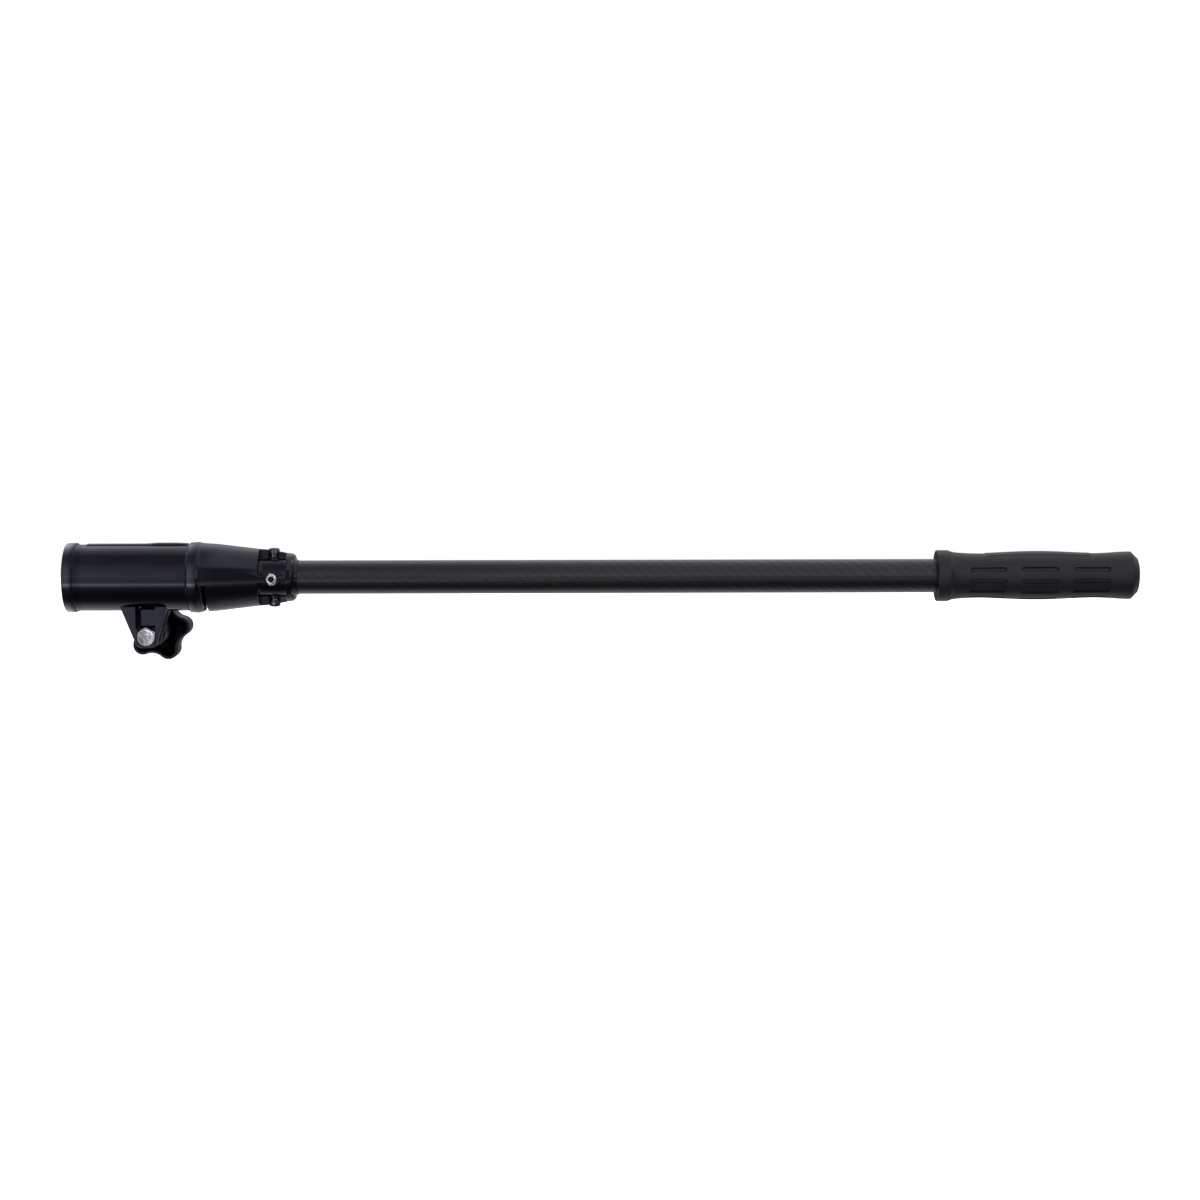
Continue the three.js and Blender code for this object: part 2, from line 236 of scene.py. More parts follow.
# ------------------------------------------------------------------ material helpers
class Nodes:
    """Short calls for building one material's node tree. A number feeds a socket directly."""

    def __init__(self, name):
        self.material = bpy.data.materials.new(name)
        self.material.use_nodes = True
        self.tree = self.material.node_tree
        self.shader = self.tree.nodes["Principled BSDF"]
        self.coords = self.tree.nodes.new("ShaderNodeTexCoord").outputs["Object"]

    def put(self, socket, value):
        if isinstance(value, bpy.types.NodeSocket):
            self.tree.links.new(value, socket)
        else:
            socket.default_value = value

    def node(self, kind, inputs=(), out=0, **settings):
        made = self.tree.nodes.new(kind)
        for key, value in settings.items():
            setattr(made, key, value)
        for key, value in dict(inputs).items():
            self.put(made.inputs[key], value)
        return made.outputs[out]

    def math(self, operation, a, b=0.0, c=0.0):
        return self.node("ShaderNodeMath", {0: a, 1: b, 2: c}, operation=operation)

    def noise(self, scale, detail=3.0, vector=None, roughness=0.5):
        inputs = {"Vector": vector or self.coords, "Scale": scale, "Detail": detail,
                  "Roughness": roughness}
        return self.node("ShaderNodeTexNoise", inputs)

    def stretched(self, x, y, z):
        inputs = {0: self.coords, 1: (x, y, z)}
        return self.node("ShaderNodeVectorMath", inputs, operation="MULTIPLY")

    def span(self, value, low, high, from_low=0.0, from_high=1.0):
        inputs = {"Value": value, "From Min": from_low, "From Max": from_high,
                  "To Min": low, "To Max": high}
        return self.node("ShaderNodeMapRange", inputs)

    def mix(self, factor, a, b):
        made = self.tree.nodes.new("ShaderNodeMix")
        made.data_type = "RGBA"
        for key, value in ((0, factor), (6, a), (7, b)):
            self.put(made.inputs[key], value)
        return made.outputs[2]

    def bump(self, height, distance, normal=None):
        inputs = {"Height": height, "Distance": distance, "Strength": 1.0}
        if normal is not None:
            inputs["Normal"] = normal
        return self.node("ShaderNodeBump", inputs)

    def rounded_edges(self, radius):
        return self.node("ShaderNodeBevel", {"Radius": radius}, samples=6)

    def painted_hollow_shade(self, reach, power):
        """Painted shade for hollows: 1 on open faces, falling towards 0 down a hollow narrower than
        the reach.
        """
        settings = {"samples": 8, "only_local": True}
        seen = self.node("ShaderNodeAmbientOcclusion", {"Distance": reach}, out="AO", **settings)
        return self.math("POWER", seen, power)

    def set(self, **sockets):
        for key, value in sockets.items():
            self.put(self.shader.inputs[key.replace("_", " ")], value)
        return self.material


def grey(value, tint=(1.0, 1.0, 1.0)):
    return (value * tint[0], value * tint[1], value * tint[2], 1.0)


BLUE_BLACK = (0.84, 0.88, 1.25)


def moulded_plastic(name, base, rough, grain_depth, edge, ior):
    """Black moulded nylon: fine spark-eroded grain, faint flow marks and rubbed patches."""
    n = Nodes(name)
    fine = n.noise(2600.0, 2.0)
    flow = n.noise(9.0, 4.0, n.stretched(1.0, 4.0, 4.0))
    scuff = n.noise(60.0, 6.0, n.stretched(0.35, 1.0, 1.0), 0.65)
    colour = n.mix(flow, grey(base * 0.85, BLUE_BLACK), grey(base * 1.25, BLUE_BLACK))
    colour = n.mix(n.span(scuff, 0.0, 0.35, 0.62, 0.8), colour, grey(base * 2.2, BLUE_BLACK))
    roughness = n.math("ADD", n.span(flow, rough - 0.03, rough + 0.05),
                       n.span(scuff, 0.0, 0.12, 0.55, 0.8))
    roughness = n.math("ADD", roughness, n.span(fine, -0.02, 0.02))
    normal = n.bump(fine, grain_depth, n.rounded_edges(edge))
    return n.set(Base_Color=colour, Roughness=roughness, Normal=normal, IOR=ior,
                 Specular_Tint=(0.8, 0.83, 1.0, 1.0))


def rubber(name, base, rough, grain_scale, grain_depth):
    """Matt rubber: soft pebbled grain with a dusty bloom, and painted shade that darkens its slots.
    """
    n = Nodes(name)
    pebble = n.node("ShaderNodeTexVoronoi", {"Vector": n.coords, "Scale": grain_scale})
    bloom = n.noise(35.0, 5.0, None, 0.6)
    colour = n.mix(bloom, grey(base * 0.8, (0.98, 0.93, 1.2)), grey(base * 1.3, (0.98, 0.94, 1.18)))
    roughness = n.math("ADD", n.span(bloom, rough - 0.06, rough + 0.08), n.span(pebble, 0.0, 0.05))
    height = n.math("ADD", pebble, n.math("MULTIPLY", n.noise(grain_scale * 2.3), 0.5))
    # Painted shade: the colour falls to near black down the slots and other hollows.
    unshaded_share = n.painted_hollow_shade(0.0014, 3.0)
    colour = n.mix(unshaded_share, grey(0.001), colour)
    roughness = n.math("ADD", roughness, n.span(unshaded_share, 0.3, 0.0, 0.3, 0.9))
    normal = n.bump(height, grain_depth)
    return n.set(Base_Color=colour, Roughness=roughness, Normal=normal, IOR=1.5)


def turned_metal(name, base, rough, axis, tint=(1.0, 1.0, 1.01), wear=0.00001):
    """Machined metal: fine turning rings about the piece's own axis, with handling smudges, and
    painted shade that darkens its hollows such as hex sockets.
    """
    n = Nodes(name)
    n.shader.inputs["Metallic"].default_value = 1.0
    along = n.stretched(*axis)
    rings = n.node("ShaderNodeTexNoise", {"Vector": along, "Scale": 1400.0, "Detail": 2.0})
    smudge = n.noise(110.0, 4.0, None, 0.6)
    dents = n.noise(230.0, 2.0, None, 0.55)
    colour = n.mix(smudge, grey(base * 0.82, tint), grey(min(base * 1.12, 0.95), tint))
    # Painted shade: the colour falls to near black in hollows such as the hex sockets.
    colour = n.mix(n.painted_hollow_shade(0.004, 1.6), grey(0.01), colour)
    roughness = n.math("ADD", n.span(smudge, rough - 0.05, rough + 0.08),
                       n.span(rings, -0.04, 0.04))
    normal = n.bump(dents, wear, n.bump(rings, 0.00001, n.rounded_edges(0.00025)))
    return n.set(Base_Color=colour, Roughness=roughness, Normal=normal)


TOWS = 36


def carbon_twill(name):
    """2x2 twill laid round the tube under satin resin, with square cells along it."""
    n = Nodes(name)
    cell = 2 * math.pi * TUBE_R / TOWS * MM
    xyz = n.tree.nodes.new("ShaderNodeSeparateXYZ")
    n.tree.links.new(n.coords, xyz.inputs[0])
    turn = n.math("ARCTAN2", xyz.outputs["Z"], xyz.outputs["Y"])
    hoop = n.math("MULTIPLY", n.math("ADD", turn, math.pi), TOWS / (2 * math.pi))
    length = n.math("DIVIDE", xyz.outputs["X"], cell)
    wander = n.math("MULTIPLY", n.math("SUBTRACT", n.noise(160.0, 2.0), 0.5), 0.28)
    hoop_w, length_w = n.math("ADD", hoop, wander), n.math("SUBTRACT", length, wander)
    i, j = n.math("FLOOR", hoop_w), n.math("FLOOR", length_w)
    u, v = n.math("SUBTRACT", hoop_w, i), n.math("SUBTRACT", length_w, j)
    step = n.math("FLOORED_MODULO", n.math("SUBTRACT", j, i), 4.0)
    axial_up = n.math("LESS_THAN", step, 1.5)

    def crown(t):
        centred = n.math("SUBTRACT", n.math("MULTIPLY", t, 2.0), 1.0)
        return n.math("SUBTRACT", 1.0, n.math("POWER", n.math("ABSOLUTE", centred), 2.6))

    across = n.math("ADD", n.math("MULTIPLY", axial_up, crown(u)),
                    n.math("MULTIPLY", n.math("SUBTRACT", 1.0, axial_up), crown(v)))
    fibre_axial = n.noise(9000.0, 1.0, n.stretched(0.02, 1.0, 1.0))
    fibre_hoop = n.noise(9000.0, 1.0, n.stretched(1.0, 0.02, 0.02))
    fibre = n.math("ADD", n.math("MULTIPLY", axial_up, fibre_axial),
                   n.math("MULTIPLY", n.math("SUBTRACT", 1.0, axial_up), fibre_hoop))
    tone = n.mix(axial_up, grey(0.006, (1.0, 0.96, 1.14)), grey(0.016, (1.0, 0.96, 1.12)))
    tone = n.mix(n.span(across, 0.55, 0.0), tone, grey(0.008))
    colour = n.mix(n.span(fibre, 0.0, 0.35, 0.3, 0.7), tone, grey(0.018, (1.0, 0.96, 1.12)))
    rough = n.math("ADD", n.span(axial_up, 0.4, 0.3), n.span(fibre, -0.04, 0.04))
    height = n.math("ADD", across, n.math("MULTIPLY", fibre, 0.15))
    return n.set(Base_Color=colour, Roughness=rough, Normal=n.bump(height, 0.00005), IOR=1.5,
                 Coat_Weight=0.35, Coat_Roughness=0.16)


# These values are tuned to the reference photo under the studio light below, not measured. The
# plastics are darker than the real ones. The four neck screws are one and the same part: the front
# one is given bright steel as painted light, and the other three dark steel as painted shade.
NYLON = moulded_plastic("black_nylon", 0.0034, 0.14, 0.0000015, 0.00015, 1.56)
# The ears' copy of the nylon is rougher, and its lighter base colour is painted light on their
# faces.
EAR_NYLON_LIGHTER = moulded_plastic("ear_nylon_painted_light", 0.016, 0.3, 0.0000025, 0.00015, 1.56)
KNOB_PLASTIC = moulded_plastic("knob_plastic", 0.012, 0.38, 0.0000025, 0.00015, 1.5)
# The knob's hollow takes a darker, less reflective copy of the plastic: painted shade.
KNOB_INSIDE_SHADED = moulded_plastic("knob_inside_painted_shade", 0.004, 0.5, 0.000004, 0.0002, 1.28)
LINER = rubber("liner_rubber", 0.011, 0.7, 900.0, 0.00003)
GRIP = rubber("grip_rubber", 0.0185, 0.42, 1500.0, 0.000015)
PLUG = rubber("plug_plastic", 0.014, 0.7, 1100.0, 0.00003)
CARBON = carbon_twill("carbon_fibre")
STEEL_BOLT = turned_metal("stainless_bolt", 0.5, 0.16, (0.04, 1.0, 0.04), wear=0.0004)
STEEL_FRONT_LIT = turned_metal("stainless_front_painted_light", 0.85, 0.16, (1.0, 0.04, 1.0))
STEEL_NECK_SHADED = turned_metal("stainless_neck_painted_shade", 0.12, 0.08, (1.0, 0.4, 0.4))
BRASS = turned_metal("brass", 0.6, 0.3, (0.04, 1.0, 0.04), (1.0, 0.78, 0.42))
ALUMINIUM = turned_metal("aluminium", 0.62, 0.38, (1.0, 0.04, 0.04))


# ------------------------------------------------------------------ clamp socket
def socket_lines():
    """The socket's outline as [x, radius, fillet]: plain, over the raised pad, and over a rib."""
    head = [(0, 23.6, 0), (0, 25.65, 0.3), (3.5, 25.85, 0.5), (7.4, 26.0, 0.15),
            (7.6, BARREL_R, 0.15)]
    flat_pad = [(x, BARREL_R, 0.2) for x in (14.8, 15.4, 60, 67, 83, 90.4, 90.9)]
    high_pad = [(14.9, BARREL_R, 0.2), (15.3, 25.5, 0.5), (60, 25.5, 3), (67, 26.15, 3),
                (83, 26.15, 3), (90.5, 25.7, 0.4), (90.8, BARREL_R, 0.2)]
    middle = [(91.2, BARREL_R, 0.2), (92.6, 26.2, 0.4), (99.2, 26.5, 0.5), (100.9, 25.8, 0.6),
              (106, 25.5, 2), (113.5, 24.9, 3), (125, 23.5, 6)]
    groove = [(144.2, 21.2, 0.6), (144.4, 14.3, 0.9), (150, 14.3, 1), (160.9, 14.3, 1),
              (164.4, 14.3, 0.9), (164.6, 18.2, 0.5)]
    rib = [(144.2, 21.2, 0.6), (145, 21.15, 0.3), (150, 20.8, 2), (160.9, 18.95, 2),
           (164.2, 18.25, 0.4), (164.8, 18.15, 0.4)]
    tail = [(168.4, 17.8, 0.5), (170.4, 16.4, 0.5), (170.6, 13.3, 0.3), (NECK_END, 13.1, 0.15),
            (NECK_END, 12.8, 0.1), (112, 12.8, 0.1), (112, 10.7, 0.1), (BORE_END, 10.7, 0.3),
            (BORE_END, BORE_R, 0.8), (1.2, BORE_R, 0.4), (0, 23.0, 0.3), (0, 23.3, 0)]
    plain = rounded(head + flat_pad + middle + groove + tail)
    pad = rounded(head + high_pad + middle + groove + tail)
    ribbed = rounded(head + flat_pad + middle + rib + tail)
    return plain, pad, ribbed


# How a raised sector falls away: (degrees from its middle, share of its height).
PAD_EDGE = ((0, 1), (8.9, 1), (9.4, 0.97), (9.8, 0.86), (10.0, 0.6), (10.15, 0.15), (10.4, 0.03),
            (10.8, 0))
RIB_EDGE = ((0, 1), (6.0, 1), (6.5, 0.985), (6.9, 0.93), (7.2, 0.85), (9.5, 0.12), (10.0, 0.04),
            (10.8, 0))
PAD_AT = (90,)
RIBS_AT = (0, 90, 180, 270)


def clustered_angles(step, clusters):
    """Even angles round the circle with extra ones where the surface steps."""
    extra = [(centre + side * a) % 360 for centre, edge in clusters
             for a, _ in edge[1:] for side in (-1, 1)]
    extra = sorted(set(round(a, 4) for a in extra))
    even = [a for a in np.arange(0, 360, step) if min(abs(a - e) for e in extra) > 0.6]
    return np.array(sorted(extra + even))


def weight(angles, centres, edge):
    """1 over a raised sector, falling to 0 past its edge."""
    total = np.zeros(len(angles))
    xs, ws = zip(*edge)
    for centre in centres:
        off = np.abs((angles - centre + 180) % 360 - 180)
        total = np.maximum(total, np.interp(off, xs, ws))
    return total


def ear_outline():
    """One ear as [x, z] points: straight sides that taper to a foot with round corners."""
    corner = 5.0
    left = arc_points(corner - 9.1, -51.7 + corner, corner, 190, 270, 6)
    right = arc_points(8.0 - corner, -51.7 + corner, corner, 270, 350, 6)
    upper = [(8.0, -46.0), (16.9, -17.0), (-20.9, -17.0), (-9.1, -46.0)]
    return [(EAR_X + u, z) for u, z in [*left, *right, *upper]]


def deep_groove(ear):
    """A deep groove in the near ear round three sides of a block over the bolt's head."""
    left, right = EAR_X - 7.9, EAR_X + 6.85
    groove = block(left, right, -20, 0, -37.2, -10)
    combine(groove, block(EAR_X - 3.7, right + 5, -12.4, 1, -34.8, -23), "DIFFERENCE")
    combine(ear, groove, "DIFFERENCE")


def build_socket():
    steps_at = [(c, PAD_EDGE) for c in PAD_AT] + [(c, RIB_EDGE) for c in RIBS_AT]
    angles = clustered_angles(3.0, steps_at)
    plain, pad, ribbed = socket_lines()
    on_pad = weight(angles, PAD_AT, PAD_EDGE)
    on_rib = weight(angles, RIBS_AT, RIB_EDGE)
    a = np.radians(angles)
    rings = []
    for p, q, r in zip(plain, pad, ribbed):
        x, radius = (p[k] + on_pad * (q[k] - p[k]) + on_rib * (r[k] - p[k]) for k in (0, 1))
        rings.append(ring_at(x, radius, a))
    socket = loft("socket_moulding", rings, wrap=True)

    for side in (-1, 1):
        low, high = sorted((side * SPLIT_W / 2, side * EAR_OUT_Y))
        ear = rounded_prism("ear", ear_outline(), low, high, 0.7)
        if side < 0:
            deep_groove(ear)
        combine(ear, turned_x("cutter", [(-5, EAR_ROOT_R), (120, EAR_ROOT_R)], 96), "DIFFERENCE")
        combine(socket, ear, "UNION")
    combine(socket, block(-1, RELIEF_X[1], -SPLIT_W / 2, SPLIT_W / 2, -60, -15), "DIFFERENCE")
    combine(socket, block(*RELIEF_X, -30, 30, -30, RELIEF_Z), "DIFFERENCE")

    half = POCKET_W / 2
    foot = arc_points(0, BOLT_Z, 2 * half / math.sqrt(3), 210, 330, 2)
    pocket = [(EAR_X + u, z) for u, z in [*foot, (half, -36.2), (-half, -36.2)]]
    depths = (-EAR_OUT_Y - 1, HEAD_FLOOR_Y + 0.3)
    combine(socket, loft("cutter", [[(x, y, z) for x, z in pocket] for y in depths]), "DIFFERENCE")
    shank_hole = turned_x("cutter", [(-20, SHANK_HOLE_R), (20, SHANK_HOLE_R)], 48)
    combine(socket, place(shank_hole, on_bolt()), "DIFFERENCE")

    boss = rounded([(12.6, 4.6, 0), (12.6, 5.4, 0.1), (SEAT_R, 5.4, 0.35),
                    (SEAT_R, SCREW_HOLE_R, 0.1), (12.6, SCREW_HOLE_R, 0.1), (12.6, 4.0, 0)])
    for degrees in RIBS_AT:
        well = turned_x("cutter", [(SEAT_R - 0.4, SCREW_WELL_R), (30, SCREW_WELL_R)], 64)
        combine(socket, place(well, on_neck(degrees)), "DIFFERENCE")
        combine(socket, place(turned_x("boss", boss, 64, wrap=True), on_neck(degrees)), "UNION")
        hole = turned_x("cutter", [(5, SCREW_HOLE_R), (30, SCREW_HOLE_R)], 32)
        combine(socket, place(hole, on_neck(degrees)), "DIFFERENCE")
    return socket


def mark_ears(socket):
    """The ears below the barrel take a rougher copy of the nylon; its lighter colour is painted
    light that brightens their faces.
    """
    for face in socket.data.polygons:
        x, y, z = np.array(face.center) / MM
        if abs(x - EAR_X) < 21.5 and z < -20 and math.hypot(y, z) > BARREL_R + 0.3:
            face.material_index = 1


socket_piece = finish_piece(build_socket(), "handle", NYLON, "black_nylon", "clamp_socket",
                            sharp=28)
socket_piece.data.materials.append(EAR_NYLON_LIGHTER)
mark_ears(socket_piece)


def build_liner():
    """A rubber sleeve, open along the split, with fine ribs inside."""
    outer = BORE_R - 0.3
    gap = math.degrees(math.asin(SPLIT_W / 2 / outer)) + 0.6
    rings = []
    for degrees in np.linspace(-90 + gap, 270 - gap, 361):
        rib = 0.28 * (0.5 + 0.5 * math.cos(math.radians(degrees * 40)))
        inner = outer - 1.5 + 0.28 - rib
        line = rounded([(2.5, outer - 0.7, 0), (2.5, outer, 0.3), (99, outer, 0.3),
                        (99, inner, 0.4), (2.5, inner, 0.6), (2.5, outer - 0.8, 0)], 3)
        a = math.radians(degrees)
        rings.append([(x, r * math.cos(a), r * math.sin(a)) for x, r in line])
    return loft("liner_sleeve", rings)


finish_piece(build_liner(), "handle", LINER, "liner_rubber", "socket_liner", sharp=60)


# ------------------------------------------------------------------ fasteners
def hex_radius(angles, across_flats, corner=0.0):
    """Distance to a hexagon's side at each angle, its corners optionally eased."""
    off = (np.degrees(angles) % 60) - 30
    r = across_flats / 2 / np.cos(np.radians(off))
    return np.minimum(r, across_flats / math.sqrt(3) - corner)


def thread_rings(x0, x1, crest, depth, pitch, angles, turned_in=1.2):
    """Rings of a right-hand thread along X that runs out smoothly at both ends."""
    rings = []
    for x in np.arange(x0, x1 + 1e-6, pitch / 8):
        fade = min(1.0, (x - x0) / turned_in, (x1 - x) / turned_in)
        phase = (x / pitch - angles / (2 * math.pi)) % 1.0
        r = crest - depth * max(0.0, fade) * (1 - np.abs(2 * phase - 1) * 1.25).clip(0, 1)
        rings.append(ring_at(x, r, angles))
    return rings


def build_bolt():
    angles = np.radians(np.arange(96) * 360 / 96)
    side = hex_radius(angles - math.pi / 6, HEAD_AF, 0.12)
    floor_y = HEAD_FLOOR_Y
    top = floor_y - HEAD_H
    face = HEAD_AF / 2 - 0.25
    chamfer = np.maximum(0.05, (side - face) * math.tan(math.radians(30)))
    rings = rings_at(
        angles, (top + 0.12, 5.0), (top + 0.03, 5.5), (top, face - 0.15), (top + 0.02, face),
        (top + chamfer, side), (floor_y - 0.45, side), (floor_y - 0.2, np.minimum(side, 6.3)),
        (floor_y - 0.15, 6.1), (floor_y, 6.05), (floor_y, 4.3), (floor_y + 0.25, 4.0), (18.0, 4.0))
    rings += thread_rings(18.2, BOLT_TIP_Y - 0.9, 3.98, 0.66, 1.25, angles)
    rings += rings_at(angles, (BOLT_TIP_Y - 0.6, 3.9), (BOLT_TIP_Y, 3.3))
    bolt = loft("hex_bolt", rings, start=(top + 0.12, 0, 0), end=(BOLT_TIP_Y, 0, 0))
    return place(bolt, on_bolt())


finish_piece(build_bolt(), "handle", STEEL_BOLT, "stainless_steel", "clamp_bolt", sharp=28)


WASHER_Y = (13.5, 15.1)


def washer(name, inner, outer, x0, x1, edge=0.18):
    line = rounded([(x0, (inner + outer) / 2, 0), (x0, outer, edge), (x1, outer, edge * 1.6),
                    (x1, inner, edge), (x0, inner, edge), (x0, (inner + outer) / 2 - 0.1, 0)])
    return turned_x(name, line, 64, wrap=True)


finish_piece(place(washer("plain_washer", 4.3, 8.0, *WASHER_Y), on_bolt()),
             "washer", STEEL_BOLT, "stainless_steel", "knob_washer", sharp=50)


def build_cap_screw(name):
    """A socket cap screw along X, its head knurled round the side."""
    angles = np.radians(np.arange(144) * 360 / 144)
    foot, top, deep = SCREW_TOP - 6.6, SCREW_TOP, SCREW_TOP - 2.6
    hexagon = hex_radius(angles, 4.0)
    knurl = 4.25 - 0.02 * (0.5 + 0.5 * np.cos(angles * 36))
    rings = rings_at(
        angles, (deep - 1.0, 0.6), (deep, hexagon), (top - 0.3, hexagon), (top - 0.02, 2.45),
        (top, 2.6), (top - 0.12, 3.15), (top - 0.35, 3.6), (top - 0.7, 3.95), (top - 1.1, 4.15),
        (top - 1.35, knurl), (foot + 1.0, knurl), (foot + 0.8, 4.2), (foot + 0.15, 4.2),
        (foot, 4.05), (foot, 2.7), (foot - 0.2, 2.5), (foot - 1.2, 2.5))
    rings += thread_rings(6.2, foot - 1.3, 2.48, 0.42, 0.8, angles, 0.6)[::-1]
    rings += rings_at(angles, (5.9, 2.3), (5.6, 1.9))
    return loft(name, rings, start=(deep - 1.3, 0, 0), end=(5.6, 0, 0))


for number, degrees in enumerate((270, 90, 0, 180), 1):
    screw = place(build_cap_screw(f"cap_screw_{number}"), on_neck(degrees))
    # The front screw takes bright steel as painted light, the other three dark steel as painted
    # shade.
    finish_piece(screw, "handle", STEEL_FRONT_LIT if degrees == 180 else STEEL_NECK_SHADED, "stainless_steel",
                 f"neck_screw_{number}", sharp=28)


# ------------------------------------------------------------------ star knob
STAR = {"lobes": 5, "tip": 24.3, "valley": 18.2, "lobe_r": 7.5, "phase": 7.6}


def star_points(inset):
    """The star's outline about its centre, moved inwards by an inset, as [x, z] points."""
    step = 360 / STAR["lobes"]
    reach = STAR["tip"] - STAR["lobe_r"]
    half = math.radians(step / 2)
    low, lobe_r = STAR["valley"], STAR["lobe_r"]
    base = reach ** 2 + low ** 2 - 2 * reach * low * math.cos(half) - lobe_r ** 2
    dip_r = base / (2 * lobe_r - 2 * low + 2 * reach * math.cos(half))
    dip_at = low + dip_r
    sweep = math.degrees(math.atan2(dip_at * math.sin(half), dip_at * math.cos(half) - reach))
    points = []
    for i in range(STAR["lobes"]):
        a = STAR["phase"] + i * step
        mid = math.radians(a + step / 2)
        lobe = reach * np.array([math.cos(math.radians(a)), math.sin(math.radians(a))])
        dip = dip_at * np.array([math.cos(mid), math.sin(mid)])
        points.extend(arc_points(*lobe, lobe_r - inset, a - sweep, a + sweep, 22))
        back = a + 180
        arc = arc_points(*dip, dip_r + inset, back + sweep, back + step - sweep, 14)
        points.extend(arc[1:-1])
    return np.array(points)


# The round rings of the knob have a point for each point of the star.
STAR_ANGLES = np.unwrap(np.arctan2(*star_points(0).T[::-1]))


def star_ring(inset, y):
    flat = star_points(inset)
    return [(EAR_X + u, y, BOLT_Z + v) for u, v in flat]


def disc_ring(radius, y):
    return [(EAR_X + radius * math.cos(a), y, BOLT_Z + radius * math.sin(a)) for a in STAR_ANGLES]


def build_knob():
    hub_y, floor_y, wall, bore_end = 15.4, 56.5, 2.15, 50.5
    rings = [disc_ring(radius, y) for radius, y in (
        (4.3, bore_end), (4.3, 32.5), (6.3, 32.2), (6.3, hub_y + 0.3), (6.6, hub_y), (8.8, hub_y),
        (9.2, hub_y + 0.1), (9.5, hub_y + 0.6), (9.6, floor_y - 2.0))]
    rings += [disc_ring(9.6 + 1.6 * s ** 2, floor_y - 2.0 + 2.0 * s) for s in (0.35, 0.7, 1.0)]
    rings += [star_ring(inset, y) for inset, y in (
        (wall + 1.4, floor_y), (wall + 0.6, floor_y - 0.3), (wall + 0.25, floor_y - 1.2),
        (wall, KNOB_RIM_Y + 1.0))]
    rim = rounded([(wall, KNOB_RIM_Y + 0.8, 0), (wall - 0.05, KNOB_RIM_Y, 0.2),
                   (0.05, KNOB_RIM_Y, 0.3), (0.0, KNOB_RIM_Y + 1.2, 0)])
    far = rounded([(0.0, KNOB_FAR_Y - 4.0, 0), (0.25, KNOB_FAR_Y - 0.35, 2.2),
                   (5.0, KNOB_FAR_Y, 0)], 6)
    rings += [star_ring(inset, y) for inset, y in (*rim, *far)]
    rings += [disc_ring(radius, KNOB_FAR_Y - sunk) for radius, sunk in (
        (12.6, 0), (12.3, 0.1), (12.2, 0.6), (11.8, 0.6), (11.7, 0.1), (11.4, 0), (6.0, 0))]
    ends = [(EAR_X, y, BOLT_Z) for y in (bore_end, KNOB_FAR_Y)]
    knob = loft("star_knob", rings, False, *ends)
    for i in range(STAR["lobes"]):
        outline = [(-0.5, KNOB_RIM_Y + 5.75), (0.0, KNOB_RIM_Y + 5.5), (0.5, KNOB_RIM_Y + 5.75),
                   (0.7, floor_y + 0.5), (-0.7, floor_y + 0.5)]
        rib = loft("rib", [[(u, y, v) for v, y in outline] for u in (9.2, STAR["tip"] - 1.0)])
        spin = Matrix.Rotation(-math.radians(STAR["phase"] + i * 360 / STAR["lobes"]), 4, "Y")
        place(rib, Matrix.Translation((EAR_X, 0, BOLT_Z)) @ spin)
        combine(knob, rib, "UNION")
    return knob


def mark_inside(knob):
    """The hollow's own faces take the second material: rougher, and darker with weaker reflections,
    which is painted shade.
    """
    star = star_points(0)
    for face in knob.data.polygons:
        x, y, z = np.array(face.center) / MM
        away = np.hypot(star[:, 0] + EAR_X - x, star[:, 1] + BOLT_Z - z).min()
        if away > 1.9 and KNOB_RIM_Y + 0.5 < y < KNOB_FAR_Y - 1:
            face.material_index = 1


knob_piece = finish_piece(build_knob(), "knob", KNOB_PLASTIC, "knob_plastic", "clamp_knob",
                          sharp=35)
knob_piece.data.materials.append(KNOB_INSIDE_SHADED)
mark_inside(knob_piece)


# ------------------------------------------------------------------ carbon tube
def build_tube():
    inner = TUBE_R - TUBE_WALL
    x0, x1 = 112.3, 796.0
    line = rounded([(x0, inner + 0.7, 0), (x0, TUBE_R, 0.25), (x1, TUBE_R, 0.25), (x1, inner, 0.2),
                    (x0, inner, 0.2), (x0, inner + 0.6, 0)])
    tube = turned_x("twill_tube", line, 128, wrap=True)
    for degrees in RIBS_AT:
        hole = turned_x("cutter", [(6, SCREW_HOLE_R), (20, SCREW_HOLE_R)], 32)
        combine(tube, place(hole, on_neck(degrees)), "DIFFERENCE")
    return tube


finish_piece(build_tube(), "handle", CARBON, "carbon_fibre", "carbon_tube")


# ------------------------------------------------------------------ grip
GRIP_X0, GRIP_X1 = 649.4, 800.0
GRIP_LINE = np.array([
    (661.2, 17.85), (664, 17.45), (668, 17.07), (675, 16.7), (683, 16.55), (690, 16.78),
    (698, 17.2), (706, 17.6), (713, 17.85), (721, 17.98), (729, 18.0), (737, 17.8), (744, 17.5),
    (751, 17.15), (758, 16.85), (763, 16.68), (768, 16.6), (773, 16.75), (779, 17.08),
    (784, 17.45), (789, 17.73), (792.5, 17.82)])
SLOT_SPANS = ((673.2, 700), (711.5, 738.6), (750.2, 777.2))
SLOT_HALF, SLOT_DEPTH = 1.6, 1.2
SLOT_ANGLES = [265 + (row - 3.5) * 30 for row in range(8)]
PANEL = {"x": (686.0, 764.0), "at": 85.0, "half": 30.0, "lift": 0.35}


def ease(t):
    t = np.clip(t, 0, 1)
    return t * t * (3 - 2 * t)


